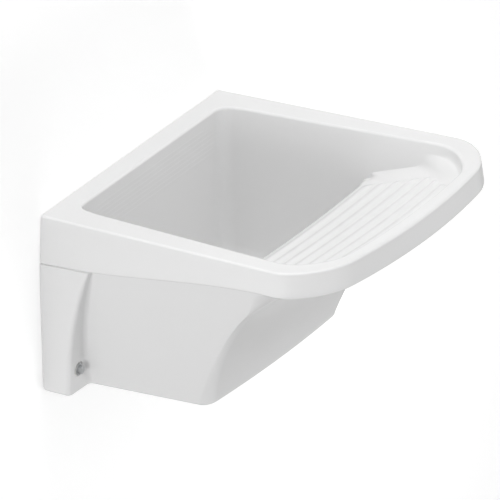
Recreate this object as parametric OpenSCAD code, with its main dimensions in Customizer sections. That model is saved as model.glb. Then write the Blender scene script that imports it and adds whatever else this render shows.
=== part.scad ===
// Wall-hung ceramic laundry and mop sink: one glazed casting with a deep bowl at the wall side
// and a ribbed washboard at the front, its wall fixings and its waste set.
// Millimetres. +X right, -Y out from the wall, +Z up. The wall is the plane Y = 0.
// The origin is on the wall, on the centre line, halfway up the rear face of the rim.

/* [Rim] */
// Width over the rim at the wall
rim_rear_w = 568; // [540:1:600]
// Width over the rim at the front, where the flared sides would meet the front line
rim_front_w = 607; // [590:1:620]
// How far the rim stands out from the wall, on the centre line
rim_d = 522; // [500:1:560]
// How far the bowed front of the rim would fall back at its sides
rim_bow = 33; // [0:1:40]
// Radius of the two front corners of the rim
rim_front_r = 105; // [70:1:120]
// Radius of the rim's top edges, outside and inside
rim_edge_r = 4; // [2:0.5:6]
// Depth of the apron band where it meets the wall wings
band_h_rear = 80; // [70:1:90]
// Depth of the apron band along the front
band_h_front = 41; // [30:1:44]
// How far the apron band leans out along the sides, from its top edge to its lower edge
band_lean = 4; // [0:0.5:6]
// How far the apron band leans out along the front
band_lean_front = 3; // [0:0.5:6]
// How far the body sits back under the lower edge of the band
lip_inset = 8; // [5:0.5:12]
// Height of the rim above the origin
rim_z = 22; // [18:1:24]

/* [Bowl opening] */
// Ledge between the wall and the bowl
ledge_rear = 35; // [32:1:44]
// Width of the opening at its rear edge
open_rear_w = 463; // [440:1:470]
// Width of the opening where its sides would meet the front line
open_front_w = 538; // [510:1:545]
// Ledge in front of the washboard, on the centre line
ledge_front = 24; // [22:1:36]
// Radius of the opening's rear corners
open_rear_r = 24; // [14:1:34]
// Radius of the opening's front corners
open_front_r = 100; // [60:1:110]
// How far the bowed front of the opening would fall back at its sides
open_bow = 20; // [0:1:26]

/* [Washboard] */
// Depth of the washboard's upper end below the rim
board_top_z = 19; // [14:1:24]
// Depth of the washboard's lower edge below the rim
board_low_z = 74; // [60:1:84]
// Distance of the washboard's lower edge from the wall
board_low_y = 304; // [295:1:320]
// Rise of each rib above its valleys
rib_h = 2.4; // [1:0.1:3]
// Number of ribs
rib_count = 7; // [5:1:9]
// Free strip between the rib ends and the side walls
rib_end_gap = 26; // [20:1:40]

/* [Bowl] */
// Depth of the bowl floor at the waste
bowl_depth = 266; // [250:1:270]
// Fall of the bowl floor towards the waste
floor_fall = 6; // [3:1:9]
// Width of the bowl at floor level, at its rear
bowl_floor_w = 428; // [400:1:432]
// Distance of the bowl's front wall from the wall, at floor level
bowl_front_y = 256; // [245:1:262]
// Radius between the bowl's walls and its floor
floor_r = 34; // [20:1:38]

/* [Body] */
// How far the body reaches down below the bowl floor
body_h = 34; // [28:1:44]
// Width of the body's foot at the wall
foot_rear_w = 447; // [436:1:460]
// Width of the body's foot at its front
foot_front_w = 420; // [412:1:436]
// Distance of the foot's front edge from the wall
foot_front_y = 265; // [260:1:275]
// Radius of the foot's lower edge
foot_edge_r = 5; // [2:0.5:7]
// Depth of the pocket under the body
pocket_d = 14; // [10:1:15]
// Width of the foot around that pocket
foot_rim_w = 24; // [18:1:30]
// Depth of the open recess behind the bowl
recess_d = 20; // [18:1:21]
// Height of the solid ledge above that recess
recess_top_z = 44; // [40:1:48]

/* [Wall wings] */
// How far the wings stand out from the wall at their foot
wing_low_d = 48; // [44:1:54]
// How much further they stand out under the band
wing_grow = 42; // [30:1:50]
// Radius of the wings' front edge
wing_edge_r = 7; // [4:0.5:9]
// Radius where a wing meets the side of the body
wing_fillet_r = 8; // [5:0.5:10]
// Distance between the two lower fixing holes
low_fix_pitch = 506; // [500:1:510]
// Height of the lower fixing holes above the foot
low_fix_z = 38; // [30:1:50]

/* [Fasteners] */
// Diameter of the fixing holes in the wings
fix_hole_d = 14; // [13:0.5:15]
// Shank diameter of the wall screws
screw_d = 8; // [6:1:8]
// Width across flats of the screw heads
head_af = 13; // [10:1:13]
// Height of the screw heads
head_h = 5.3; // [4:0.1:6]
// Outer diameter of the washers
washer_d = 20; // [17:1:22]
// Thickness of the washers
washer_t = 1.6; // [1:0.1:2]
// Thickness of the nylon bush's flange
bush_t = 2; // [1.5:0.1:3]
// Outer diameter of the wall plugs
plug_d = 12; // [11:1:14]
// Length of the wall plugs
plug_l = 60; // [50:1:70]

/* [Hangers] */
// Distance between the two hanger brackets
hanger_pitch = 300; // [260:1:340]
// Width of a hanger bracket
hanger_w = 60; // [50:1:70]
// Height of a hanger's wall plate
hanger_h = 76; // [70:1:90]
// Thickness of the hanger steel
hanger_t = 4; // [3:0.5:4]
// Height of the hanger's nose above its shelf
nose_h = 12; // [8:1:13]
// Thickness of the rubber pad on the hanger
pad_t = 2; // [1:0.5:2]
// Width of the ledge's lip that hooks over the hanger
hook_lip = 10; // [9:1:11]
// Distance between the upper and the lower hanger screw
hanger_screw_pitch = 32; // [28:1:36]

/* [Waste] */
// Distance of the waste from the wall
waste_y = 150; // [145:1:155]
// Diameter of the hole in the bowl floor
waste_hole_d = 52; // [50:1:56]
// Diameter of the strainer flange
flange_d = 72; // [68:1:78]
// Thickness of the flange metal
flange_t = 1.6; // [1:0.1:2]
// Depth of the flange's dish
dish_h = 11; // [9:1:12]
// Diameter of the dish
dish_d = 46; // [44:1:48]
// Number of slots through the dish
slot_count = 8; // [6:1:10]
// Diameter of the bowl plug
stopper_d = 52; // [48:1:54]
// Diameter of the collar of the waste body
collar_d = 70; // [64:1:76]
// Outer diameter of the threaded outlet
outlet_d = 47.8; // [46:0.1:50]
// How far the outlet's end reaches below the foot
outlet_end_z = 38; // [34:1:42]
// Outer diameter of the tailpiece
tail_d = 40; // [38:1:41]
// Wall of the tailpiece
tail_t = 2; // [1.5:0.1:3]
// How far the tailpiece's end reaches below the foot
tail_end_z = 78; // [72:1:82]

/* [Fits] */
// Radial clearance of screws and bushes in their holes
hole_gap = 0.1; // [0.05:0.01:0.15]
// Radial clearance of the coupling nut on the outlet's thread
thread_gap = 0.15; // [0.1:0.01:0.2]
// Thickness of the seals
seal_t = 3; // [2:0.5:4]

/* [Hidden] */
$fn = 48;

// Points along each stretch of a half ring
corner_n = 8;
rear_corner_n = 4;
edge_n = 3;
side_n = 4;
front_n = 3;
// Steps in each rib
rib_steps = 5;

// ---- Plan and profile of the casting ----------------------------------------------------
// Depths are counted down from the rim, distances out from the wall.

// Depth of the foot
foot_z = bowl_depth + body_h;
// Widening of the rim, the opening and the foot on each side, per millimetre from the wall
rim_flare = (rim_front_w - rim_rear_w) / 2 / rim_d;
open_flare = (open_front_w - open_rear_w) / 2 / (rim_d - ledge_front - ledge_rear);
foot_flare = (foot_front_w - foot_rear_w) / 2 / foot_front_y;
// The band fades from its rear depth to its front depth over this share of the rim
band_fade = rim_d * 0.8;
// Depth left between the lower edge of the band and the top of the body
lip_step = 2;
// Draft of the bowl's rear wall
rear_draft = 0.04;
// Width of the hollow strip at the washboard's ends, and its reach along the side walls
board_strip = 30;
board_strip_l = 34;
// Radius in plan between the bowl's walls
wall_r = 36;
// Rounding of the washboard's lower edge, and hollow rounding of its upper end
roll_r = 12;
// How far the corners of the foot's front edge fall back
foot_bow = 7;
// Half-width and chamfer of the recess behind the bowl
recess_x = open_rear_w / 2 - 6;
recess_chamfer = 8;
pocket_r = 16;

function mix(a, b, t) = a + (b - a) * t;
function ease(t) = t <= 0 ? 0 : t >= 1 ? 1 : t * t * (3 - 2 * t);
function bezier(p, t) = pow(1 - t, 3) * p[0] + 3 * t * pow(1 - t, 2) * p[1]
    + 3 * t * t * (1 - t) * p[2] + pow(t, 3) * p[3];

// The front of the body: a hollow curve [distance, depth] from the foot up to the lip. Its
// control points lie out and up from the foot, and back and down from the lip.
cove_top_y = rim_d - lip_inset - 6;
cove_top_z = band_h_front + lip_step;
cove_lean = 20;
cove_rise = 92;
cove_reach = 124;
cove_dip = 4;
cove = [[foot_front_y, foot_z], [foot_front_y + cove_lean, foot_z - cove_rise],
    [cove_top_y - cove_reach, cove_top_z + cove_dip], [cove_top_y, cove_top_z]];
// Share of the way up from the foot to the band at a step t of that curve
function rise(t) = (foot_z - bezier(cove, t)[1]) / (foot_z - cove_top_z);
// Depth of the band's lower edge at a distance y from the wall
function band_z(y) = mix(band_h_rear, band_h_front, ease(y / band_fade));
// Distance from the wall of a wing's front face, a share u of the way up
function wing_y(u) = wing_low_d + wing_grow * u * u;
// Radius of the body's front corners, a little tighter halfway up
foot_corner_r = 24;
waist_corner_r = 18;
function body_corner(t) = t < 0.6 ? mix(foot_corner_r, waist_corner_r, sin(300 * t))
    : mix(foot_corner_r, rim_front_r - lip_inset, ease((t - 0.6) / 0.4));

// Straight sides [half-width at the wall, widening] a share u of the way up
wing_waist = 4;
function wing_side(u) = [rim_rear_w / 2 + mix(-wing_waist, band_lean, ease(u)), rim_flare];
function body_side(u) = [mix(foot_rear_w / 2, rim_rear_w / 2 + band_lean - lip_inset, u),
    mix(foot_flare, rim_flare, u)];
function side_x(s, y) = s[0] + s[1] * y;

// ---- Lofts ------------------------------------------------------------------------------

// A half ring lists [x, distance, depth] from the middle of the rear along the right side
// to the middle of the front. ring() closes it on the left.
function ring(half) = concat(
    [for (p = half) [p[0], -p[1], -p[2]]],
    [for (i = [len(half) - 2 : -1 : 1]) [-half[i][0], -half[i][1], -half[i][2]]]);

// A closed skin through rings of equal length, from the lowest to the highest. Its two flat
// ends are fans round a point on the centre line, mid_y out from the wall.
module loft(rings, mid_y) {
    n = len(rings[0]);
    top = (len(rings) - 1) * n;
    middle = len(rings) * n;
    polyhedron(
        points = concat([for (r = rings) each r],
            [[0, -mid_y, rings[0][0][2]], [0, -mid_y, rings[len(rings) - 1][0][2]]]),
        faces = concat(
            [for (i = [0 : n - 1]) [middle, (i + 1) % n, i]],
            [for (k = [0 : len(rings) - 2], i = [0 : n - 1], upper = [false, true])
                let (a = k * n + i, b = k * n + (i + 1) % n)
                upper ? [a, b + n, a + n] : [a, b, b + n]],
            [for (i = [0 : n - 1]) [middle + 1, top + i, top + (i + 1) % n]]));
}

// ---- Outside of the casting -------------------------------------------------------------

// Half outline [x, distance] with a wing: ws and bs are the sides of the wing and the body,
// yw the wing's front face, yf the front line, rc its corner radius, in_w and in_b how far
// the wing and the rest draw in, bow how far the front corners fall back.
function outline(ws, bs, yw, yf, rc, in_w, in_b, bow) =
    let (step = ws[0] - bs[0],
        we = max(2, min(wing_edge_r, step * 0.45)), wf = max(2, min(wing_fillet_r, step * 0.45)),
        wx = min(we, step / 2), fx = min(wf, step / 2),
        y0 = yw + wf, y1 = yf - rc, xf = side_x(bs, yf) - rc)
    concat(
        [[0, 0], [ws[0] - in_w - 2, 0], [side_x(ws, 2) - in_w, 2]],
        [for (i = [0 : edge_n]) let (a = 90 * i / edge_n, y = yw - we * (1 - sin(a)))
            [side_x(ws, y) - in_w - wx * (1 - cos(a)), y]],
        [for (i = [0 : edge_n]) let (a = 90 * i / edge_n, y = yw + 1 + (wf - 1) * (1 - cos(a)))
            [side_x(bs, y) - in_b + fx * (1 - sin(a)), y]],
        [for (i = [1 : side_n]) let (y = mix(y0, y1, i / (side_n + 1)))
            [side_x(bs, y) - in_b, y]],
        [for (i = [0 : corner_n]) let (a = 90 * i / corner_n, y = y1 + (rc - in_b) * sin(a),
            x = side_x(bs, y) - in_b - (rc - in_b) * (1 - cos(a)))
            [x, y - bow * pow(x / side_x(bs, y), 2) * sin(a)]],
        [for (i = [1 : front_n]) let (x = xf * (1 - i / front_n))
            [x, yf - in_b - bow * pow(x / side_x(bs, yf), 2)]]);

// A ring of the body at a step t of the hollow front, drawn in by inset and raised by up
function body_ring(t, inset, up) =
    let (u = rise(t),
        here = outline(wing_side(u), body_side(u), wing_y(u), bezier(cove, t)[0],
            body_corner(t), inset, inset, mix(foot_bow, rim_bow, u * u)),
        above = outline(wing_side(1), body_side(1), wing_y(1), cove_top_y,
            body_corner(1), 0, 0, rim_bow))
    ring([for (i = [0 : len(here) - 1]) let (top = band_z(above[i][1]) + lip_step)
        [here[i][0], here[i][1], mix(foot_z, top, u) - up]]);

// A ring of the band: low is 1 where the band leans out in full and 0 at the rim, and so is
// the share of the band's own depth that is added to the depth z
function band_ring(low, in_w, in_b, z) =
    let (s = [rim_rear_w / 2 + band_lean * low, rim_flare], yf = rim_d + band_lean_front * low)
    ring([for (p = outline(s, s, wing_y(1), yf, rim_front_r, in_w, in_b, rim_bow))
        [p[0], p[1], z + low * band_z(p[1])]]);

module casting_outside() {
    cove_steps = [0.06, 0.15, 0.26, 0.38, 0.5, 0.62, 0.73, 0.83, 0.92, 1];
    e = foot_edge_r;
    loft(concat(
        [body_ring(0, e, 0), body_ring(0, e * 0.3, e * 0.3), body_ring(0, 0, e)],
        [for (t = cove_steps) body_ring(t, 0, e * pow(1 - t, 4))],
        [band_ring(1, 0, 3, 0.5), band_ring(1, 0, 1, -0.5), band_ring(1, 0, 0, -3)],
        [for (a = [0, 30, 60, 90]) let (i = rim_edge_r * (1 - cos(a)))
            band_ring(0, i, i, rim_edge_r * (1 - sin(a)))]), wing_low_d / 2);
}

// ---- Inside of the casting --------------------------------------------------------------

// Half-width of the bowl at a distance y from the wall and a depth z
function open_x(y, z) = mix(open_rear_w / 2 + open_flare * (y - ledge_rear),
    bowl_floor_w / 2 + foot_flare * (y - ledge_rear), min(1, z / bowl_depth));
function open_rear(z) = ledge_rear + rear_draft * z;

// Front edge of the opening, upper end of the washboard's plane, and foot of the front wall
open_y = rim_d - ledge_front;
board_hi_y = open_y - roll_r;
roll_y = board_low_y - roll_r;
wall_foot_z = bowl_depth - floor_fall - floor_r;
rib_pitch = (board_hi_y - board_low_y) / rib_count;
board_a = atan2(board_low_z - board_top_z, board_hi_y - board_low_y);
wall_a = atan2(wall_foot_z - board_low_z - roll_r, roll_y - bowl_front_y);

// The front of the bowl from the rim down, as [distance, depth, 1 on the washboard]
front_line = concat(
    [for (a = [0 : 30 : 60]) [open_y - roll_r * (1 - cos(a)) * 0.5,
        mix(rim_edge_r + 3, board_top_z, sin(a) * 0.9), 0]],
    [for (i = [0 : rib_count * rib_steps]) let (t = i / rib_count / rib_steps)
        [mix(board_hi_y, board_low_y, t), mix(board_top_z, board_low_z, t), 1]],
    [for (i = [1 : 4]) let (a = mix(board_a, wall_a, i / 4))
        [board_low_y - roll_r * (sin(a) - sin(board_a)),
         board_low_z + roll_r * (cos(board_a) - cos(a)), 0]],
    [for (t = [0.25, 0.5, 0.75])
        [mix(board_low_y - roll_r * (sin(wall_a) - sin(board_a)), bowl_front_y, t),
         mix(board_low_z + roll_r, wall_foot_z, t), 0]]);

// Stretches over which the front corner turns into the strip, and the strip into the bowl's
// own corner
corner_run = 90;
roll_run = 25;
// Front corner where the front line is at a distance y from the wall: [reach across, reach
// along, 0 where it is round or 1 where it meets the side wall in a crease]
function front_corner(y) =
    let (t = ease((open_y - y) / corner_run), s = ease((roll_y - y) / roll_run))
    [mix(mix(open_front_r, board_strip, t), wall_r, s),
     mix(mix(open_front_r, board_strip_l, t), wall_r, s), t * (1 - s)];

// Half outline [x, distance] of the bowl: z is the depth, r the front corner and grow how
// far it stands out past the walls
function hollow(yf, z, r, grow) =
    let (yr = open_rear(z) - grow, rr = open_rear_r + grow, y1 = yf - r[1],
        xf = open_x(yf, z) + grow - r[0])
    concat(
        [[0, yr], [(open_x(yr, z) - rr) * 0.6, yr]],
        [for (i = [0 : rear_corner_n]) let (a = 90 * i / rear_corner_n)
            [open_x(yr, z) + grow - rr * (1 - sin(a)), yr + rr * (1 - cos(a))]],
        [for (i = [1 : side_n]) let (y = mix(yr + rr, y1, i / (side_n + 1)))
            [open_x(y, z) + grow, y]],
        [for (i = [0 : corner_n]) let (a = 90 * i / corner_n, s = i / corner_n,
            y = mix(y1 + r[1] * sin(a), yf - r[1] * (1 - s) * (1 - s), r[2]))
            [open_x(y, z) + grow - r[0] * mix(1 - cos(a), s, r[2]), y]],
        [for (share = [0.94, 0.62, 0.31, 0]) [xf * share, yf]]);

// Height of the ribs, which run across and die out before the side walls
rib_run_out = 14;
function rib(x, y, z, r) = rib_h / 2 * (1 - cos(360 * (board_hi_y - y) / rib_pitch))
    * ease((open_x(y, z) - max(rib_end_gap, r[0] - 2) - abs(x)) / rib_run_out);

function bowl_ring(yf, z, r, grow, ribbed) =
    let (t = mix(0.4, 1, ease(1 - (open_y - yf) / corner_run))
        * ease((yf - bowl_front_y) / (roll_y - bowl_front_y)))
    ring([for (p = hollow(yf, z, r, grow)) let (front = ease((p[1] - yf + r[1]) / r[1]))
        [p[0], p[1] - open_bow * t * front * pow(p[0] / open_x(yf, z), 2),
         z - ribbed * rib(p[0], yf, z, r)]]);

// A ring of the rounding between the walls and the floor, at an angle a of that rounding
function floor_ring(a) =
    let (z = wall_foot_z + floor_r * sin(a), d = floor_r * (1 - cos(a)),
        yr = open_rear(z), squeeze = 1 - 2 * d / (bowl_front_y - yr))
    ring([for (p = hollow(bowl_front_y, z, [wall_r, wall_r, 0], 0))
        [p[0] * (1 - 2 * d / bowl_floor_w), yr + d + (p[1] - yr) * squeeze, z]]);

// A ring of the floor, drawn in a share t of the way to the flat seat round the waste
seat_r = flange_d / 2 + 6;
function fall_ring(t) =
    [for (p = floor_ring(90)) let (d = [p[0], p[1] + waste_y], c = d / norm(d) * seat_r)
        [mix(d[0], c[0], t), mix(d[1], c[1], t) - waste_y, p[2] - floor_fall * t]];

module bowl_space() {
    r = front_corner(open_y);
    loft(concat(
        [fall_ring(1), fall_ring(0.5)],
        [for (a = [90 : -18 : 0]) floor_ring(a)],
        [for (i = [len(front_line) - 1 : -1 : 0]) let (f = front_line[i])
            bowl_ring(f[0], f[1], front_corner(f[0]), 0, f[2])],
        [for (a = [0, 30, 60, 90]) let (g = rim_edge_r * (1 - cos(a)))
            bowl_ring(open_y + g, rim_edge_r * (1 - sin(a)), r, g, 0)],
        [bowl_ring(open_y + rim_edge_r, -rim_edge_r, r, rim_edge_r, 0)]), waste_y);
}

// The open recess behind the bowl, between the two wings
module wall_recess() {
    w = recess_x;
    c = recess_chamfer;
    translate([0, 0, -foot_z - 1])
        linear_extrude(foot_z - recess_top_z + 1)
            polygon([[-w, 1], [-w, c - recess_d], [c - w, -recess_d],
                [w - c, -recess_d], [w, c - recess_d], [w, 1]]);
}

// The pocket under the body, inside its foot
module foot_pocket() {
    r = pocket_r;
    y0 = recess_d + foot_rim_w + r;
    y1 = foot_front_y - foot_rim_w - r;
    x0 = side_x(body_side(0), y0) - foot_rim_w - r;
    x1 = side_x(body_side(0), y1) - foot_rim_w - r;
    corners = [[x0, -y0], [-x0, -y0], [-x1, -y1], [x1, -y1]];
    translate([0, 0, -foot_z - 1])
        linear_extrude(pocket_d + 1)
            polygon([for (i = [0 : 3], k = [0 : 4]) let (a = 90 * (i + k / 4))
                [corners[i][0] + r * cos(a), corners[i][1] + r * sin(a)]]);
}

// ---- Fixings ----------------------------------------------------------------------------

screw_r = screw_d / 2;
hole_r = screw_r + hole_gap;
bush_r = fix_hole_d / 2 - hole_gap;
// Faces that the wing's bush, washer and screw head bear on
wing_seat_y = wing_low_d;
wing_washer_y = wing_seat_y + bush_t;
wing_head_y = wing_washer_y + washer_t;
hanger_head_y = hanger_t + washer_t;
// The screws end short of the plugs' closed ends
screw_reach = plug_l - 10;
plug_bore_l = screw_reach + 2;
spot_d = washer_d + 4;
hex_n = 6;
// Width of the slots that let a plug spread, and the share of its length before they start
plug_slot = 1.2;
plug_neck = 0.55;

low_points = [for (s = [-1, 1]) [s * low_fix_pitch / 2, low_fix_z - foot_z]];
// Where the hanger's shelf and nose lie, and how far below the shelf its first screw is
shelf_z = recess_top_z + pad_t;
nose_y = hook_lip + pad_t;
hanger_screw_drop = 28;
hanger_hole_z = shelf_z + hanger_screw_drop;
hanger_points = [for (s = [-1, 1], k = [0, 1])
    [s * hanger_pitch / 2, -hanger_hole_z - k * hanger_screw_pitch]];
groove_gap = 2;

// A round bar along Y from a distance a to a distance b out from the wall
module bar(r, a, b, fn = 48) {
    translate([0, -a, 0])
        rotate([90, 0, 0])
            cylinder(r = r, h = b - a, $fn = fn);
}

module tube(r, bore, a, b) {
    difference() {
        bar(r, a, b);
        bar(bore, a - 1, b + 1);
    }
}

module at_points(points) {
    for (p = points)
        translate([p[0], 0, p[1]])
            children();
}

module wall_screw(head_y) {
    bar(screw_r, -screw_reach, head_y);
    bar(head_af / 2 / cos(180 / hex_n), head_y, head_y + head_h, hex_n);
}

module wall_plug() {
    difference() {
        bar(plug_d / 2, -plug_l, 0);
        bar(hole_r, -plug_bore_l, 1);
        for (turn = [0, 90])
            rotate([0, turn, 0])
                translate([-plug_d, plug_l * plug_neck, -plug_slot / 2])
                    cube([2 * plug_d, plug_l, plug_slot]);
    }
}

// Across a hanger, points [distance, depth] are drawn out along X
module across(w, points) {
    rotate([90, 0, 90])
        linear_extrude(w, center = true)
            polygon([for (p = points) [-p[0], -p[1]]]);
}

module hanger(side) {
    color("silver")
        translate([side * hanger_pitch / 2, 0, rim_z])
            difference() {
                across(hanger_w, [[0, shelf_z], [nose_y, shelf_z], [nose_y, shelf_z - nose_h],
                    [nose_y + hanger_t, shelf_z - nose_h],
                    [nose_y + hanger_t, shelf_z + hanger_t], [hanger_t, shelf_z + hanger_t],
                    [hanger_t, shelf_z + hanger_h], [0, shelf_z + hanger_h]]);
                for (k = [0, 1])
                    translate([0, 0, -hanger_hole_z - k * hanger_screw_pitch])
                        bar(hole_r, -1, hanger_t + 1);
            }
}

module hanger_left() { hanger(-1); }

module hanger_right() { hanger(1); }

module hanger_pads() {
    top = recess_top_z;
    color("dimgray")
        for (side = [-1, 1])
            translate([side * hanger_pitch / 2, 0, rim_z])
                across(hanger_w, [[0, top], [hook_lip, top], [hook_lip, shelf_z - nose_h],
                    [nose_y, shelf_z - nose_h], [nose_y, shelf_z], [0, shelf_z]]);
}

module hanger_screws() {
    color("silver")
        translate([0, 0, rim_z])
            at_points(hanger_points)
                wall_screw(hanger_head_y);
}

module hanger_washers() {
    color("silver")
        translate([0, 0, rim_z])
            at_points(hanger_points)
                tube(washer_d / 2, hole_r, hanger_t, hanger_head_y);
}

module hanger_plugs() {
    color("lightgray")
        translate([0, 0, rim_z])
            at_points(hanger_points)
                wall_plug();
}

module wing_bushes() {
    color("white")
        translate([0, 0, rim_z])
            at_points(low_points) {
                tube(bush_r, hole_r, bush_t, wing_seat_y);
                tube(washer_d / 2, hole_r, wing_seat_y, wing_washer_y);
            }
}

module wing_washers() {
    color("silver")
        translate([0, 0, rim_z])
            at_points(low_points)
                tube(washer_d / 2, hole_r, wing_washer_y, wing_head_y);
}

module wing_screws() {
    color("silver")
        translate([0, 0, rim_z])
            at_points(low_points)
                wall_screw(wing_head_y);
}

module wing_plugs() {
    color("lightgray")
        translate([0, 0, rim_z])
            at_points(low_points)
                wall_plug();
}

// Grooves in the ledge's underside that the hangers' noses reach up into
module hanger_grooves() {
    for (side = [-1, 1])
        translate([side * hanger_pitch / 2 - hanger_w / 2 - groove_gap,
            -nose_y - hanger_t - groove_gap, -recess_top_z - 1])
            cube([hanger_w + 2 * groove_gap, pad_t + hanger_t + groove_gap,
                nose_h - pad_t + groove_gap + 1]);
}

module fixing_holes() {
    at_points(low_points) {
        bar(fix_hole_d / 2, -1, wing_seat_y + 1);
        bar(spot_d / 2, wing_seat_y, wing_seat_y + wing_grow);
    }
}

// ---- Waste ------------------------------------------------------------------------------

flange_seal_t = 2;
seat_z = bowl_depth + flange_t + flange_seal_t;
flange_z = seat_z - flange_seal_t;
flange_r = flange_d / 2;
dish_r = dish_d / 2;
dish_z = flange_z + dish_h;
// Width of a strainer slot
slot_w = 4;
waste_hole_r = waste_hole_d / 2;
pocket_z = foot_z - pocket_d;
collar_z = pocket_z + seal_t;
collar_r = collar_d / 2;
collar_t = 5;
outlet_r = outlet_d / 2;
outlet_t = 3.4;
outlet_bore = outlet_r - outlet_t;
outlet_z = foot_z + outlet_end_z;
// Length of the cone between the collar and the throat
cone_l = 8;
throat_z = collar_z + collar_t + cone_l;
// Boss for the centre screw, and the cross arms that carry it
boss_r = 6.5;
boss_l = 14;
boss_end_z = collar_z + boss_l;
arm_t = 3;
arm_h = 8;
m6_r = 3;
m6_head_r = 5.5;
m6_head_h = 3;
tail_r = tail_d / 2;
tail_z = foot_z + tail_end_z;
tail_flange_r = outlet_r - 1;
tail_flange_t = 2.5;
tail_flange_z = outlet_z + seal_t;
nut_t = 5;
nut_r = outlet_r + nut_t;
nut_grip_n = 12;
nut_grip_r = 2.5;
// Length of thread that the nut takes in
nut_hold = 16;
nut_top_z = outlet_z - nut_hold;
nut_lip_z = tail_flange_z + tail_flange_t;
nut_lip_t = 4.5;
// Radial play of the tailpiece in the nut's lip
nut_lip_gap = 1;

// A revolved part on the waste's axis, from points [radius, depth]
module turned(points) {
    translate([0, -waste_y, rim_z])
        rotate_extrude($fn = 64)
            polygon([for (p = points) [p[0], -p[1]]]);
}

module ring_part(r, bore, z0, z1) {
    turned([[bore, z0], [r, z0], [r, z1], [bore, z1]]);
}

module strainer_flange() {
    t = flange_t;
    color("silver")
        difference() {
            turned([[m6_r + hole_gap, dish_z], [m6_r + hole_gap, dish_z - t],
                [dish_r - t - 1, dish_z - t], [dish_r - t, dish_z - t - 1],
                [dish_r, flange_z - t], [flange_r - 1, flange_z - t], [flange_r, flange_z],
                [dish_r + t, flange_z], [dish_r, flange_z + 1], [dish_r, dish_z]]);
            for (i = [0 : slot_count - 1])
                translate([0, -waste_y, rim_z])
                    rotate([0, 0, 360 * i / slot_count])
                        translate([dish_r * 0.42, -slot_w / 2, -dish_z - 1])
                            cube([dish_r * 0.4, slot_w, t + 2]);
        }
}

module flange_seal() {
    color("dimgray")
        ring_part(flange_r - 1, waste_hole_r, flange_z, seat_z);
}

module body_seal() {
    color("dimgray")
        ring_part(collar_r - 1, waste_hole_r, pocket_z, collar_z);
}

module waste_body() {
    r = waste_hole_r - 2;
    reach = outlet_bore + 2.5;
    color("whitesmoke")
        difference() {
            union() {
                turned([[r, collar_z], [collar_r, collar_z], [collar_r, collar_z + collar_t],
                    [r + 4, collar_z + collar_t], [outlet_r, throat_z + 4],
                    [outlet_r, outlet_z], [outlet_bore, outlet_z],
                    [outlet_bore, throat_z]]);
                turned([[0, dish_z], [boss_r, dish_z], [boss_r, boss_end_z], [0, boss_end_z]]);
                for (turn = [0, 90])
                    translate([0, -waste_y, rim_z - boss_end_z])
                        rotate([0, 0, turn])
                            translate([-reach, -arm_t / 2, 0])
                                cube([2 * reach, arm_t, arm_h]);
            }
            translate([0, -waste_y, rim_z - boss_end_z - 1])
                cylinder(r = m6_r + hole_gap, h = boss_end_z - dish_z + 2);
        }
}

module waste_screw() {
    z = dish_z - flange_t;
    color("silver")
        turned([[0, z - m6_head_h], [m6_head_r - 1, z - m6_head_h],
            [m6_head_r, z - m6_head_h + 1], [m6_head_r, z], [m6_r, z],
            [m6_r, boss_end_z + 4], [0, boss_end_z + 4]]);
}

module coupling_nut() {
    inner = outlet_r + thread_gap;
    color("whitesmoke") {
        turned([[inner, nut_top_z], [nut_r, nut_top_z], [nut_r, nut_lip_z + nut_lip_t],
            [tail_r + nut_lip_gap, nut_lip_z + nut_lip_t], [tail_r + nut_lip_gap, nut_lip_z],
            [inner, nut_lip_z]]);
        for (i = [0 : nut_grip_n - 1])
            translate([0, -waste_y, rim_z - nut_lip_z - nut_lip_t])
                rotate([0, 0, 360 * i / nut_grip_n])
                    translate([nut_r - 0.5, 0, 0])
                        cylinder(r = nut_grip_r, h = nut_lip_z + nut_lip_t - nut_top_z,
                            $fn = 24);
    }
}

module coupling_seal() {
    color("dimgray")
        ring_part(tail_flange_r, outlet_bore, outlet_z, tail_flange_z);
}

module tailpiece() {
    color("whitesmoke")
        turned([[tail_r - tail_t, tail_flange_z], [tail_flange_r, tail_flange_z],
            [tail_flange_r, nut_lip_z], [tail_r, nut_lip_z], [tail_r, tail_z],
            [tail_r - tail_t, tail_z]]);
}

// ---- Plug -------------------------------------------------------------------------------

stopper_r = stopper_d / 2;
stopper_seal_t = 2;
stopper_core_r = dish_r - flange_t - 1;
stopper_core_h = 4;
stopper_z = flange_z - flange_t - stopper_seal_t;
disc_t = 2;
knob_r = 9;
knob_h = 18;
knob_neck_r = 4;

module stopper_disc() {
    z = stopper_z;
    color("silver")
        turned([[0, z - disc_t - 1], [stopper_r - 6, z - disc_t - 0.5], [stopper_r, z - 0.6],
            [stopper_r, z], [stopper_core_r, z], [stopper_core_r, z + stopper_seal_t],
            [stopper_core_r - 2, z + stopper_seal_t + stopper_core_h],
            [0, z + stopper_seal_t + stopper_core_h]]);
}

module stopper_seal() {
    color("dimgray")
        ring_part(stopper_r, stopper_core_r, stopper_z, stopper_z + stopper_seal_t);
}

module stopper_knob() {
    z = stopper_z - disc_t - 1;
    color("silver")
        turned([[0, z], [knob_neck_r + 2, z], [knob_neck_r, z - 3],
            [knob_neck_r, z - knob_h + 8], [knob_r - 1, z - knob_h + 6],
            [knob_r, z - knob_h + 3.5], [knob_r - 2, z - knob_h + 0.8], [0, z - knob_h]]);
}

// ---- Basin ------------------------------------------------------------------------------

module waste_hole() {
    translate([0, -waste_y, 0]) {
        translate([0, 0, -foot_z - 1])
            cylinder(r = waste_hole_r, h = foot_z, $fn = 64);
        translate([0, 0, -seat_z])
            cylinder(r = flange_r + 1, h = seat_z - bowl_depth + 1, $fn = 64);
    }
}

module basin() {
    color("white")
        translate([0, 0, rim_z])
            difference() {
                casting_outside();
                bowl_space();
                wall_recess();
                foot_pocket();
                hanger_grooves();
                fixing_holes();
                waste_hole();
            }
}

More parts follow.
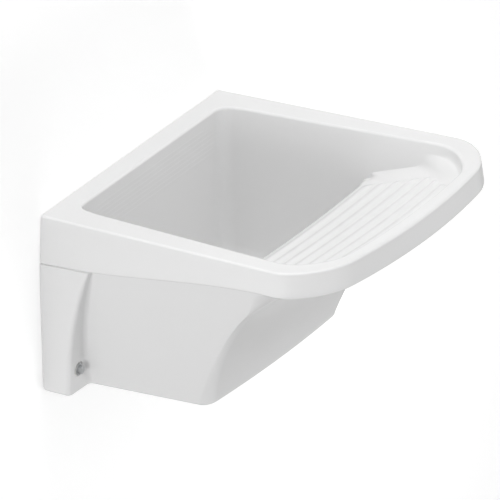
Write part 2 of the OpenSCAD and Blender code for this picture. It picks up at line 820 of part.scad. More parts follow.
basin();
hanger_left();
hanger_right();
hanger_pads();
hanger_screws();
hanger_washers();
hanger_plugs();
wing_bushes();
wing_washers();
wing_screws();
wing_plugs();
strainer_flange();
flange_seal();
body_seal();
waste_body();
waste_screw();
coupling_nut();
coupling_seal();
tailpiece();
stopper_disc();
stopper_seal();
stopper_knob();
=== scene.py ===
import math

import bmesh
import bpy
from mathutils import Matrix, Vector


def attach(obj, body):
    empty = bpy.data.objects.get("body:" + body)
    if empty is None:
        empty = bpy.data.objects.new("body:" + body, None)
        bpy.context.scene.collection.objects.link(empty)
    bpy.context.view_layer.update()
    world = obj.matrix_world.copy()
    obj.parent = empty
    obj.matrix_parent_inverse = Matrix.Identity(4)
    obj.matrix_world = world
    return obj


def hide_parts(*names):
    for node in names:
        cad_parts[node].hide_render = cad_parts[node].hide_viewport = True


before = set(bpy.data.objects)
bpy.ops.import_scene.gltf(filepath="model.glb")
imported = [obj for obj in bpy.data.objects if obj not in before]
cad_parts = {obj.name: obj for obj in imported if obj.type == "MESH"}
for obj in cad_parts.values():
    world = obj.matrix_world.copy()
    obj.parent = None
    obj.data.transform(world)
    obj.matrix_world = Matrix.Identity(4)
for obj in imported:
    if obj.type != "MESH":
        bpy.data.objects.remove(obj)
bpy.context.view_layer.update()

# ---- Casting ----------------------------------------------------------------------------
# The sink is one slip-cast ceramic body, glazed white all over and fired. Its rim carries a deep
# apron band, the body draws in under it to a small foot, and two wings stand against the wall.
# Sizes are in millimetres: x across, y out from the wall, z the depth below the rim.
MM = 0.001
RIM_UP = 22.0
rim_d, rim_bow, rim_front_r, rim_edge_r = 522.0, 33.0, 105.0, 4.0
rim_half, rim_flare = 284.0, 19.5 / 522.0
rim_land, rear_edge, rear_edge_mid = 1.5, 2.5, 0.7
band_rear, band_front, band_lean, band_lean_front, band_run = 80.0, 41.0, 3.95, 3.0, 0.8
band_edge_r, band_edge_up = 3.0, 0.3
lip_inset, lip_step, lip_round = 8.0, 2.0, 6.0
body_h, foot_front_y, foot_edge_r, foot_land, foot_bow = 300.0, 265.0, 5.0, 2.0, 7.0
foot_half, foot_flare = 223.5, -13.5 / 265.0
cove_lean, cove_rise, cove_reach, cove_dip = 20.0, 92.0, 124.0, 4.0
corner_r, corner_waist, waist_end = 24.0, 6.0, 0.6
wing_low_d, wing_grow, wing_edge_r, wing_fillet_r, wing_waist = 48.0, 42.0, 7.0, 8.0, 4.0
fold_share, fold_least, fold_gap = 0.45, 2.0, 1.0
ledge_rear, ledge_front, open_bow = 35.0, 24.0, 20.0
open_half, open_flare = 231.5, 37.5 / 463.0
open_rear_r, open_front_r, rear_draft, open_bow_least = 24.0, 100.0, 0.04, 0.4
mouth_in, mouth_down, mouth_share, mouth_turn = 0.5, 3.0, 0.9, 84.0
board_top_z, board_low_z, board_low_y, roll_r = 19.0, 74.0, 304.0, 12.0
rib_h, rib_count, rib_end_gap, rib_corner_gap, rib_fade = 2.4, 7, 26.0, -2.0, 14.0
strip_across, strip_along, strip_tuck, tuck_run = 30.0, 42.0, 12.0, 42.0
corner_run, wall_run = 90.0, 25.0
bowl_depth, floor_fall, bowl_half, bowl_front_y, floor_r = 266.0, 6.0, 214.0, 256.0, 34.0
wall_r, seat_flat_r, waste_y = 36.0, 42.0, 150.0

# points along each stretch of half a ring, and rings to each stretch of the profile
rear_n, arc_n, side_n, corner_n, front_n, even_y = 12, 7, 34, 26, 22, 62.0
body_rings, face_rings, mouth_rings, rib_rings = 60, 10, 9, 16
roll_rings, wall_rings, floor_rings, fall_rings = 12, 16, 14, 8


def mix(a, b, t):
    """The value at share t of the way from a to b."""
    return a + (b - a) * t


def ease(t):
    """A share from 0 to 1 that sets off and arrives gently."""
    t = min(1.0, max(0.0, t))
    return t * t * (3 - 2 * t)


def span(a, b, n):
    """n + 1 even steps from a to b."""
    return [mix(a, b, i / n) for i in range(n + 1)]


cove_y = rim_d - lip_inset - lip_round
cove_z = band_front + lip_step
cove = [(foot_front_y, body_h), (foot_front_y + cove_lean, body_h - cove_rise),
        (cove_y - cove_reach, cove_z + cove_dip), (cove_y, cove_z)]


def cove_at(t):
    """The hollow front of the body, from its foot to the lip: (distance, depth)."""
    k = ((1 - t) ** 3, 3 * t * (1 - t) ** 2, 3 * t * t * (1 - t), t ** 3)
    return tuple(sum(w * p[i] for w, p in zip(k, cove)) for i in (0, 1))


def band_depth(y):
    """Depth of the band's lower edge, which rises towards the front."""
    return mix(band_rear, band_front, ease(y / (rim_d * band_run)))


def corner_radius(t):
    """Radius of the body's front corners, from the foot over the waist to the lip."""
    if t < waist_end:
        return corner_r - corner_waist * math.sin(math.pi * t / waist_end)
    return mix(corner_r, rim_front_r - lip_inset, ease((t - waist_end) / (1 - waist_end)))


def toward_middle(x):
    """Points from x to the middle of the front, closer together near x."""
    return [x * (1 - t ** 1.5) for t in span(0, 1, front_n)[1:]]


def outline(wing, body, wing_y, front_y, front_r, inset, bow, even=0.0):
    """Right half of the outside in plan, from the middle of the rear to the middle of the front.
    even slides the points along the sides from the wing's roundings to an even spacing."""
    def wing_x(y):
        return wing[0] + wing[1] * y

    def body_x(y):
        return body[0] + body[1] * y

    step = wing[0] - body[0]
    edge = max(fold_least, min(wing_edge_r, step * fold_share))
    fillet = max(fold_least, min(wing_fillet_r, step * fold_share))
    edge_x, fillet_x = min(edge, step / 2), min(fillet, step / 2)
    y0, y1, front_x = wing_y + fillet, front_y - front_r, body_x(front_y) - front_r
    pts = [(x, 0.0) for x in span(0, wing[0] - inset - rear_edge, rear_n)]
    pts += [(wing_x(rear_edge_mid) - inset - rear_edge_mid, rear_edge_mid),
            (wing_x(rear_edge) - inset, rear_edge)]
    slid = iter(span(rear_edge, even_y, 2 * arc_n + 2)[1:])
    for a in span(0, math.pi / 2, arc_n):
        y = mix(wing_y - edge * (1 - math.sin(a)), next(slid), even)
        pts.append((wing_x(y) - inset - edge_x * (1 - math.cos(a)), y))
    for a in span(0, math.pi / 2, arc_n):
        y = mix(wing_y + fold_gap + (fillet - fold_gap) * (1 - math.cos(a)), next(slid), even)
        pts.append((body_x(y) - inset + fillet_x * (1 - math.sin(a)), y))
    pts += [(body_x(y) - inset, y) for y in span(mix(y0, even_y, even), y1, side_n)[1:-1]]
    for a in span(0, math.pi / 2, corner_n):
        y = y1 + (front_r - inset) * math.sin(a)
        x = body_x(y) - inset - (front_r - inset) * (1 - math.cos(a))
        pts.append((x, y - bow * (x / body_x(y)) ** 2 * math.sin(a)))
    for x in toward_middle(front_x):
        pts.append((x, front_y - inset - bow * (x / body_x(front_y)) ** 2))
    return pts


def body_ring(t, inset, up):
    """A ring of the body at share t of its front, drawn in by inset and raised by up."""
    y, z = cove_at(t)
    u = (body_h - z) / (body_h - cove_z)
    wing = (rim_half + mix(-wing_waist, band_lean, ease(u)), rim_flare)
    full = (rim_half + band_lean, rim_flare)
    lip = (rim_half + band_lean - lip_inset, rim_flare)
    body = (mix(foot_half, lip[0], u), mix(foot_flare, rim_flare, u))
    here = outline(wing, body, wing_low_d + wing_grow * u * u, y, corner_radius(t), inset,
                   mix(foot_bow, rim_bow, u * u))
    above = outline(full, lip, wing_low_d + wing_grow, cove_y, rim_front_r - lip_inset, 0,
                    rim_bow)
    return [(x, y, mix(body_h, band_depth(lip_point[1]) + lip_step, u) - up)
            for (x, y), lip_point in zip(here, above)]


def band_ring(low, inset, z):
    """A ring of the band: low is 1 at its lower edge and 0 at the rim."""
    side = (rim_half + band_lean * low, rim_flare)
    pts = outline(side, side, wing_low_d + wing_grow, rim_d + band_lean_front * low,
                  rim_front_r, inset, rim_bow, 1 - low)
    return [(x, y, z + low * band_depth(y)) for x, y in pts]


# The inside: bowl, washboard and their rounded edges, in rings with as many points as outside
open_y = rim_d - ledge_front
board_hi_y = open_y - roll_r
roll_y = board_low_y - roll_r
wall_foot_z = bowl_depth - floor_fall - floor_r
rib_pitch = (board_hi_y - board_low_y) / rib_count
board_a = math.atan2(board_low_z - board_top_z, board_hi_y - board_low_y)
wall_a = math.atan2(wall_foot_z - board_low_z - roll_r, roll_y - bowl_front_y)


def inside_x(y, z):
    """Half width of the inside at a distance and depth."""
    return mix(open_half + open_flare * (y - ledge_rear),
               bowl_half + foot_flare * (y - ledge_rear), min(1, z / bowl_depth))


def front_corner(y):
    """Reach of the front corner across and along, and how far it is a crease, not an arc."""
    t, s = ease((open_y - y) / corner_run), ease((roll_y - y) / wall_run)
    along = mix(strip_tuck, strip_along, ease((y - board_low_y) / tuck_run))
    return (mix(mix(open_front_r, strip_across, t), wall_r, s),
            mix(mix(open_front_r, along, t), wall_r, s), t * (1 - s))


def hollow(front_y, z, corner, grow):
    """Right half of the inside in plan, at one depth and widened by grow."""
    across, along, crease = corner
    rear_y, rear_r = ledge_rear + rear_draft * z - grow, open_rear_r + grow
    rear_x, y1 = inside_x(rear_y, z) + grow, front_y - along
    pts = [(x, rear_y) for x in span(0, rear_x - rear_r, rear_n)]
    for a in span(0, math.pi / 2, 2 * arc_n + 4)[1:]:
        pts.append((rear_x - rear_r * (1 - math.sin(a)), rear_y + rear_r * (1 - math.cos(a))))
    pts += [(inside_x(y, z) + grow, y) for y in span(rear_y + rear_r, y1, side_n)[1:-1]]
    for s in span(0, 1, corner_n):
        a = math.pi / 2 * s
        y = mix(y1 + along * math.sin(a), front_y - along * (1 - s) ** 2, crease)
        pts.append((inside_x(y, z) + grow - across * mix(1 - math.cos(a), s, crease), y))
    pts += [(x, front_y) for x in toward_middle(inside_x(front_y, z) + grow - across)]
    return pts


def rib(x, y, z, corner):
    """Height of the ribs at a place of the washboard; they fade out before its sides."""
    wave = rib_h / 2 * (1 - math.cos(2 * math.pi * (board_hi_y - y) / rib_pitch))
    gap = max(rib_end_gap, corner[0] + rib_corner_gap)
    return wave * ease((inside_x(y, z) - gap - abs(x)) / rib_fade)


def bowl_ring(front_y, z, corner, grow, ribbed):
    """A ring of the inside that meets the washboard or the front wall at front_y."""
    bow = mix(open_bow_least, 1, ease(1 - (open_y - front_y) / corner_run)) * open_bow
    bow *= ease((front_y - bowl_front_y) / (roll_y - bowl_front_y))
    out = []
    for x, y in hollow(front_y, z, corner, grow):
        near = ease((y - front_y + corner[1]) / corner[1])
        back = bow * near * (x / inside_x(front_y, z)) ** 2
        out.append((x, y - back, z - ribbed * rib(x, front_y, z, corner)))
    return out


def floor_ring(a):
    """A ring of the rounding between the walls and the floor, at angle a round it."""
    z = wall_foot_z + floor_r * math.sin(a)
    d = floor_r * (1 - math.cos(a))
    rear_y = ledge_rear + rear_draft * z
    squeeze = 1 - 2 * d / (bowl_front_y - rear_y)
    return [(x * (1 - d / bowl_half), rear_y + d + (y - rear_y) * squeeze, z)
            for x, y in hollow(bowl_front_y, z, (wall_r, wall_r, 0), 0)]


def fall_ring(t):
    """A ring of the floor, which falls from the walls to the waste's seat."""
    out = []
    for x, y, z in floor_ring(math.pi / 2):
        away = math.hypot(x, y - waste_y)
        cx, cy = x / away * seat_flat_r, (y - waste_y) / away * seat_flat_r
        out.append((mix(x, cx, t), mix(y - waste_y, cy, t) + waste_y, z + floor_fall * ease(t)))
    return out


# where each ring of the inside meets the front: (distance, depth, whether it is ribbed)
front_line = [(open_y - roll_r * (1 - math.cos(a)) * mouth_in,
               mix(rim_edge_r + mouth_down, board_top_z, math.sin(a) * mouth_share), 0)
              for a in span(0, math.radians(mouth_turn), mouth_rings)]
front_line += [(mix(board_hi_y, board_low_y, t), mix(board_top_z, board_low_z, t), 1)
               for t in span(0, 1, rib_count * rib_rings)]
for a in span(board_a, wall_a, roll_rings)[1:]:
    front_line.append((board_low_y - roll_r * (math.sin(a) - math.sin(board_a)),
                       board_low_z + roll_r * (math.cos(board_a) - math.cos(a)), 0))
roll_end_y, roll_end_z = front_line[-1][:2]
front_line += [(mix(roll_end_y, bowl_front_y, t), mix(roll_end_z, wall_foot_z, t), 0)
               for t in span(0, 1, wall_rings)[1:-1]]

quarter = [math.radians(a) for a in range(0, 91, 10)]
rings = [body_ring(0, foot_edge_r + foot_land, 0)]
rings += [body_ring(0, foot_edge_r * (1 - math.sin(a)), foot_edge_r * (1 - math.cos(a)))
          for a in quarter]
rings += [body_ring(t, 0, foot_edge_r * (1 - t) ** 4) for t in span(0, 1, body_rings)[1:]]
rings += [band_ring(1, band_edge_r * (1 - math.sin(a)),
                    -band_edge_r * (1 - math.cos(a)) + band_edge_up) for a in quarter]
rings += [[(mix(p[0], q[0], t), mix(p[1], q[1], t), mix(p[2], q[2], t))
           for p, q in zip(band_ring(1, 0, -band_edge_r), band_ring(0, 0, rim_edge_r))]
          for t in span(0, 1, face_rings)[1:-1]]
rings += [band_ring(0, rim_edge_r * (1 - math.cos(a)), rim_edge_r * (1 - math.sin(a)))
          for a in quarter]
flat = rim_edge_r + rim_land
mouth = front_corner(open_y)
rings += [band_ring(0, flat, 0), bowl_ring(open_y + flat, 0, mouth, flat, 0)]
for a in reversed(quarter):
    wider = rim_edge_r * (1 - math.cos(a))
    rings.append(bowl_ring(open_y + wider, rim_edge_r * (1 - math.sin(a)), mouth, wider, 0))
rings += [bowl_ring(y, z, front_corner(y), 0, ribbed) for y, z, ribbed in front_line]
rings += [floor_ring(a) for a in span(0, math.pi / 2, floor_rings)]
rings += [fall_ring(t) for t in span(0, 1, fall_rings)[1:]]


def place(x, y, z):
    """A point of the casting in the frame's metres."""
    return Vector((x * MM, -y * MM, (RIM_UP - z) * MM))


def solid(name, bm, turn=None):
    """A piece from a closed bmesh, turned into place, with its faces looking outward."""
    if turn is not None:
        bm.transform(turn)
    bmesh.ops.recalc_face_normals(bm, faces=bm.faces)
    mesh = bpy.data.meshes.new(name)
    bm.to_mesh(mesh)
    bm.free()
    piece = bpy.data.objects.new(name, mesh)
    bpy.context.scene.collection.objects.link(piece)
    return piece


def skin(name, halves, ends):
    """A closed mesh through half rings, mirrored, with a fan at each end."""
    bm = bmesh.new()
    loops = []
    for half in halves:
        ring = half + [(-x, y, z) for x, y, z in half[-2:0:-1]]
        loops.append([bm.verts.new(place(*p)) for p in ring])
    for low, high in zip(loops, loops[1:]):
        n = len(low)
        for i in range(n):
            bm.faces.new((low[i], low[(i + 1) % n], high[(i + 1) % n], high[i]))
    for loop, middle in ((loops[0], ends[0]), (loops[-1], ends[1])):
        tip = bm.verts.new(place(*middle))
        for i in range(len(loop)):
            bm.faces.new((tip, loop[i], loop[(i + 1) % len(loop)]))
    return solid(name, bm)


def prism(name, points, low, high, turn=None):
    """A closed prism over points in its own plane, from low to high, then turned."""
    bm = bmesh.new()
    ends = [[bm.verts.new((x, y, h)) for x, y in points] for h in (low, high)]
    n = len(points)
    for i in range(n):
        bm.faces.new((ends[0][i], ends[0][(i + 1) % n], ends[1][(i + 1) % n], ends[1][i]))
    bm.faces.new(ends[0])
    bm.faces.new(ends[1])
    return solid(name, bm, turn)


def disc(r, n):
    """The corners of an even polygon of n sides round the middle."""
    return [(r * math.cos(2 * math.pi * i / n), r * math.sin(2 * math.pi * i / n))
            for i in range(n)]


def cut(piece, tool, how="DIFFERENCE"):
    """Takes tool out of piece, or joins or intersects the two, and deletes tool."""
    change = piece.modifiers.new("cut", "BOOLEAN")
    change.operation, change.solver, change.object = how, "MANIFOLD", tool
    made = bpy.data.meshes.new_from_object(
        piece.evaluated_get(bpy.context.evaluated_depsgraph_get()))
    piece.modifiers.clear()
    piece.data = made
    bpy.data.objects.remove(tool)


# for sections drawn as (x, y) seen from above, and as (x, z) seen from the front
METRES = Matrix.Scale(MM, 4)
flat_down = METRES @ Matrix.Translation((0, 0, RIM_UP))
out_of_wall = Matrix(((MM, 0, 0, 0), (0, 0, -MM, 0), (0, MM, 0, RIM_UP * MM), (0, 0, 0, 1)))


def side_on(x):
    """For a section drawn as (distance, depth) and drawn out along x."""
    return METRES @ Matrix(((0, 0, 1, x), (-1, 0, 0, 0), (0, -1, 0, RIM_UP), (0, 0, 0, 1)))


# what is cut out of the casting; a cutter reaches past it by over
over = 1.0
recess_x, recess_d, recess_top, recess_c = 225.5, 20.0, 44.0, 8.0
pocket_d, foot_rim, pocket_r = 14.0, 24.0, 16.0
heel_r, heel_reach = 12.0, 320.0
hanger_x, hanger_w = 150.0, 60.0
groove_gap, groove_near, groove_far, groove_h = 2.0, 10.0, 18.0, 12.0
low_x, low_z, fix_bore_r, spot_r = 253.0, 262.0, 7.0, 12.0
waste_hole_r, seat_hole_r, seat_z = 26.0, 37.0, 269.6

casting = skin("casting", rings, ((0, wing_low_d / 2, body_h),
                                  (0, waste_y, bowl_depth)))
recess = [(-recess_x, over), (-recess_x, recess_c - recess_d), (recess_c - recess_x, -recess_d),
          (recess_x - recess_c, -recess_d), (recess_x, recess_c - recess_d), (recess_x, over)]
cut(casting, prism("recess", recess, -body_h - over, -recess_top, flat_down))
pocket = []
rear_y, front_y = recess_d + foot_rim + pocket_r, foot_front_y - foot_rim - pocket_r
for side, y, start in ((1, rear_y, 0), (-1, rear_y, 90), (-1, front_y, 180), (1, front_y, 270)):
    x = side * (foot_half + foot_flare * y - foot_rim - pocket_r)
    pocket += [(x + pocket_r * math.cos(math.radians(a)),
                -y + pocket_r * math.sin(math.radians(a))) for a in range(start, start + 91, 9)]
cut(casting, prism("pocket", pocket, -body_h - over, -body_h + pocket_d, flat_down))
heel = [(-over, body_h + over), (heel_r, body_h + over)]
heel += [(heel_r - heel_r * math.sin(a), body_h - heel_r + heel_r * math.cos(a))
         for a in span(0, math.pi / 2, 10)]
heel += [(-over, body_h - heel_r)]
cut(casting, prism("heel", heel, -heel_reach, heel_reach, side_on(0)))
for side in (-1, 1):
    x0, x1 = [side * hanger_x + k * (hanger_w / 2 + groove_gap) for k in (-1, 1)]
    groove = [(x0, -groove_far), (x1, -groove_far), (x1, -groove_near), (x0, -groove_near)]
    cut(casting, prism("groove", groove, -recess_top - over, -recess_top + groove_h, flat_down))
    here = out_of_wall @ Matrix.Translation((side * low_x, -low_z, 0))
    cut(casting, prism("bore", disc(fix_bore_r, 48), -over, wing_low_d + over, here))
    cut(casting, prism("spot", disc(spot_r, 64), wing_low_d, wing_low_d + wing_grow, here))
drain = flat_down @ Matrix.Translation((0, -waste_y, 0))
cut(casting, prism("hole", disc(waste_hole_r, 96), -body_h - over, -over, drain))
cut(casting, prism("seat", disc(seat_hole_r, 96), -seat_z, -bowl_depth + over, drain))

# where a finish's second colour starts and ends in its noise, and how fine the relief is
tone_from, tone_to, cloud_detail = 0.35, 0.65, 4
relief_finer, relief_detail, relief_depth = 6, 3, 0.0005
sharp_from = math.radians(32)


def finish_material(name, colour, shade, rough, rough_to, grain, bump, metal=0.0):
    """A painted, moulded or fired finish: two close colours, uneven gloss and a fine relief."""
    made = bpy.data.materials.new(name)
    made.use_nodes = True
    nodes, links = made.node_tree.nodes, made.node_tree.links
    shader = nodes["Principled BSDF"]
    place_node = nodes.new("ShaderNodeTexCoord")
    cloud = nodes.new("ShaderNodeTexNoise")
    cloud.inputs["Scale"].default_value = grain
    cloud.inputs["Detail"].default_value = cloud_detail
    tone = nodes.new("ShaderNodeValToRGB")
    for stop, at, paint in zip(tone.color_ramp.elements, (tone_from, tone_to), (shade, colour)):
        stop.position, stop.color = at, (*paint, 1)
    gloss = nodes.new("ShaderNodeMapRange")
    gloss.inputs["To Min"].default_value, gloss.inputs["To Max"].default_value = rough, rough_to
    relief = nodes.new("ShaderNodeTexNoise")
    relief.inputs["Scale"].default_value = grain * relief_finer
    relief.inputs["Detail"].default_value = relief_detail
    lift = nodes.new("ShaderNodeBump")
    lift.inputs["Strength"].default_value = bump
    lift.inputs["Distance"].default_value = relief_depth
    links.new(place_node.outputs["Object"], cloud.inputs["Vector"])
    links.new(place_node.outputs["Object"], relief.inputs["Vector"])
    links.new(cloud.outputs["Fac"], tone.inputs["Fac"])
    links.new(tone.outputs["Color"], shader.inputs["Base Color"])
    links.new(cloud.outputs["Fac"], gloss.inputs["Value"])
    links.new(gloss.outputs["Result"], shader.inputs["Roughness"])
    links.new(relief.outputs["Fac"], lift.inputs["Height"])
    links.new(lift.outputs["Normal"], shader.inputs["Normal"])
    shader.inputs["Metallic"].default_value = metal
    return made


def fit(piece, node, finish, body="root"):
    """Gives a piece its finish and puts it in the place of a node."""
    piece.data.materials.clear()
    piece.data.materials.append(finish)
    piece.data.shade_smooth()
    piece.data.set_sharp_from_angle(angle=sharp_from)
    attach(piece, body)
    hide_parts(node)


glaze = finish_material("white_glaze", (0.83, 0.83, 0.83), (0.826, 0.826, 0.826),
                        0.20, 0.26, 4.0, 0.02)
fit(casting, "basin", glaze)

# ---- Hangers ----------------------------------------------------------------------------
# Two brackets folded from 4 mm steel strip and zinc plated. Each is screwed to the wall in the
# recess, and its nose reaches up into a groove under the ledge and carries the sink.
hanger_t, nose_y, nose_top, shelf_z, hanger_foot = 4.0, 12.0, 34.0, 46.0, 122.0
bend_r, burr_r, foot_corner, nose_corner = 1.5, 0.8, 6.0, 3.0
screw_hole_r, hanger_holes = 4.1, (74.0, 106.0)


def rounded(corners, n=6):
    """A closed outline from corners (x, y, radius), each rounded by its radius."""
    out = []
    for i, (x, y, r) in enumerate(corners):
        tip = Vector((x, y))
        back = (Vector(corners[i - 1][:2]) - tip).normalized()
        on = (Vector(corners[(i + 1) % len(corners)][:2]) - tip).normalized()
        if r == 0:
            out.append((x, y))
            continue
        half = back.angle(on) / 2
        middle = tip + (back + on).normalized() * (r / math.sin(half))
        start = tip + back * (r / math.tan(half)) - middle
        end = tip + on * (r / math.tan(half)) - middle
        out += [tuple(middle + start.lerp(end, t).normalized() * r) for t in span(0, 1, n)]
    return out


zinc = finish_material("zinc_plating", (0.62, 0.63, 0.64), (0.50, 0.51, 0.52),
                       0.26, 0.42, 140.0, 0.10, metal=1.0)
outer_r = bend_r + hanger_t
hanger_side = rounded([
    (0, shelf_z, outer_r), (nose_y, shelf_z, bend_r), (nose_y, nose_top, burr_r),
    (nose_y + hanger_t, nose_top, burr_r), (nose_y + hanger_t, shelf_z + hanger_t, outer_r),
    (hanger_t, shelf_z + hanger_t, bend_r), (hanger_t, hanger_foot, burr_r),
    (0, hanger_foot, burr_r)])
hanger_front = rounded([
    (-hanger_w / 2, -hanger_foot, foot_corner), (hanger_w / 2, -hanger_foot, foot_corner),
    (hanger_w / 2, -nose_top, nose_corner), (-hanger_w / 2, -nose_top, nose_corner)])
for side, name in ((-1, "hanger_left"), (1, "hanger_right")):
    here = out_of_wall @ Matrix.Translation((side * hanger_x, 0, 0))
    bracket = prism(name + "_bracket", hanger_side, -hanger_w / 2, hanger_w / 2,
                    side_on(side * hanger_x))
    cut(bracket, prism("trim", hanger_front, -over, nose_y + hanger_t + over, here), "INTERSECT")
    for z in hanger_holes:
        cut(bracket, prism("hole", disc(screw_hole_r, 48), -over, hanger_t + over,
                           here @ Matrix.Translation((0, -z, 0))))
    fit(bracket, name, zinc)

# ---- Hanger pads ------------------------------------------------------------------------
# A strip of black rubber along each hanger's shelf and up its nose, between the steel and the
# ceramic. It is cut from sheet, folded and held by the sink's own weight.
pad_t, pad_inner_y, pad_edge_r = 2.0, 10.0, 0.4


def gather(name, pieces):
    """One piece from the meshes of several."""
    bm = bmesh.new()
    for piece in pieces:
        bm.from_mesh(piece.data)
        bpy.data.objects.remove(piece)
    return solid(name, bm)


pad_side = rounded([
    (0, shelf_z - pad_t, pad_edge_r), (pad_inner_y, shelf_z - pad_t, pad_edge_r),
    (pad_inner_y, nose_top, pad_edge_r), (nose_y, nose_top, pad_edge_r),
    (nose_y, shelf_z, pad_edge_r), (0, shelf_z, pad_edge_r)])
rubber = finish_material("black_rubber", (0.032, 0.032, 0.033), (0.022, 0.022, 0.023),
                         0.62, 0.8, 260.0, 0.3)
pads = gather("pads", [prism("pad", pad_side, -hanger_w / 2, hanger_w / 2,
                             side_on(side * hanger_x)) for side in (-1, 1)])
fit(pads, "hanger_pads", rubber)

# ---- Wall screws ------------------------------------------------------------------------
# Six zinc plated coach screws with chamfered hexagon heads, four through the hangers and two
# through the wings, each driven into its plug and turned a little differently.
head_across, head_l, head_chamfer, head_face_in, head_bury = 13.0, 5.3, 1.1, 0.2, 1.0
screw_r, screw_deep, tip_l, tip_r, tip_flat = 4.0, 50.0, 8.0, 0.6, 0.4
thread_l, thread_pitch, thread_cut, thread_start = 46.0, 3.4, 0.9, 1.0
turn_seed, screw_turn = 5, math.pi / 3
hanger_head_y, wing_head_y = 5.6, 51.6
hanger_points = [(side * hanger_x, -z) for side in (-1, 1) for z in hanger_holes]
wing_points = [(side * low_x, -low_z) for side in (-1, 1)]


def lathe(name, profile, turn=None, n=96, thread=None):
    """A closed solid turned from a profile of (radius, height). thread is the radius that a
    thread is cut in, where it starts and ends, its pitch and its depth."""
    thread_r, start, end, pitch, depth = thread or (0, 0, 0, 0, 0)
    bm = bmesh.new()
    loops = []
    for r, h in profile:
        loop = []
        for i in range(n if r > 0 else 1):
            a, deep = 2 * math.pi * i / n, 0
            if r == thread_r and start < h < end:
                run_out = min(1, (h - start) / pitch, (end - h) / pitch)
                deep = depth * run_out * (1 - math.cos(2 * math.pi * h / pitch - a)) / 2
            loop.append(bm.verts.new(((r - deep) * math.cos(a), (r - deep) * math.sin(a), h)))
        loops.append(loop)
    for low, high in zip(loops, loops[1:] + loops[:1]):
        for i in range(n):
            j = (i + 1) % n
            face = list(dict.fromkeys((low[i % len(low)], low[j % len(low)],
                                       high[j % len(high)], high[i % len(high)])))
            if len(face) > 2:
                bm.faces.new(face)
    return solid(name, bm, turn)


def new_tree(name, sockets):
    """An empty node tree with its sockets, its input and its output."""
    tree = bpy.data.node_groups.new(name, "GeometryNodeTree")
    for label, way, kind in sockets:
        tree.interface.new_socket(label, in_out=way, socket_type="NodeSocket" + kind)
    return tree, tree.nodes.new("NodeGroupInput"), tree.nodes.new("NodeGroupOutput")


def grow(name, tree, mesh, inputs, used):
    """Runs a tree on a mesh, keeps the result as a plain piece and deletes the used piece."""
    host = bpy.data.objects.new(name, mesh)
    bpy.context.scene.collection.objects.link(host)
    change = host.modifiers.new(name, "NODES")
    change.node_group = tree
    for item in tree.interface.items_tree:
        if item.in_out == "INPUT" and item.name in inputs:
            change[item.identifier] = inputs[item.name]
    made = bpy.data.meshes.new_from_object(
        host.evaluated_get(bpy.context.evaluated_depsgraph_get()))
    host.modifiers.clear()
    host.data = made
    bpy.data.objects.remove(used)
    return host


def copy_piece(tree, ask, give, points, rotation):
    """The end of both trees: copies of the piece at points, made real and given a finish."""
    nodes, links = tree.nodes, tree.links
    source = nodes.new("GeometryNodeObjectInfo")
    copies = nodes.new("GeometryNodeInstanceOnPoints")
    real, painted = nodes.new("GeometryNodeRealizeInstances"), nodes.new("GeometryNodeSetMaterial")
    links.new(points, copies.inputs["Points"])
    links.new(ask.outputs["Piece"], source.inputs["Object"])
    links.new(source.outputs["Geometry"], copies.inputs["Instance"])
    links.new(rotation, copies.inputs["Rotation"])
    links.new(copies.outputs[0], real.inputs[0])
    links.new(real.outputs[0], painted.inputs["Geometry"])
    links.new(ask.outputs["Finish"], painted.inputs["Material"])
    links.new(painted.outputs[0], give.inputs["Copies"])


# a copy stands out of the wall and is turned about its axis by a random share of Turn
at_points, ask, give = new_tree("at_points", (
    ("Points", "INPUT", "Geometry"), ("Piece", "INPUT", "Object"), ("Turn", "INPUT", "Float"),
    ("Finish", "INPUT", "Material"), ("Copies", "OUTPUT", "Geometry")))
nodes, links = at_points.nodes, at_points.links
least_turn, most_turn = nodes.new("ShaderNodeCombineXYZ"), nodes.new("ShaderNodeCombineXYZ")
least_turn.inputs["X"].default_value = most_turn.inputs["X"].default_value = math.pi / 2
random_turn = nodes.new("FunctionNodeRandomValue")
random_turn.data_type = "FLOAT_VECTOR"
random_turn.inputs["Seed"].default_value = turn_seed
links.new(ask.outputs["Turn"], most_turn.inputs["Y"])
links.new(least_turn.outputs[0], random_turn.inputs[0])
links.new(most_turn.outputs[0], random_turn.inputs[1])
copy_piece(at_points, ask, give, ask.outputs["Points"], random_turn.outputs[0])


def scatter(name, piece, points, y, turn, finish):
    """Copies of a piece whose axis is its own z, at points of the wall and y out from it."""
    mesh = bpy.data.meshes.new(name)
    mesh.from_pydata([place(x, y, -z) for x, z in points], [], [])
    return grow(name, at_points, mesh, {"Piece": piece, "Turn": math.pi / 2 + turn,
                                        "Finish": finish}, piece)


def wall_screw(head_y):
    """A screw whose head bears on z = 0 and whose point is screw_deep inside the wall."""
    reach = head_y + screw_deep
    hex_r = head_across / 2 / math.cos(math.pi / 6)
    head = prism("head", disc(hex_r, 6), 0, head_l, METRES)
    cut(head, lathe("chamfer", [
        (0, -over), (hex_r + over, -over), (hex_r + over, head_l - head_chamfer),
        (head_across / 2 - head_face_in, head_l), (0, head_l)], METRES), "INTERSECT")
    shank = [(0, -reach), (tip_r, tip_flat - reach)]
    shank += [(screw_r, h) for h in span(tip_l + thread_start - reach, thread_l - reach, 90)]
    shank += [(screw_r, head_bury), (0, head_bury)]
    cut(head, lathe("shank", shank, METRES, 48, (screw_r, tip_l - reach, thread_l - reach,
                                                 thread_pitch, thread_cut)), "UNION")
    return head


for node, points, head_y in (("hanger_screws", hanger_points, hanger_head_y),
                             ("wing_screws", wing_points, wing_head_y)):
    fit(scatter(node + "_turned", wall_screw(head_y), points, head_y, screw_turn, zinc),
        node, zinc)

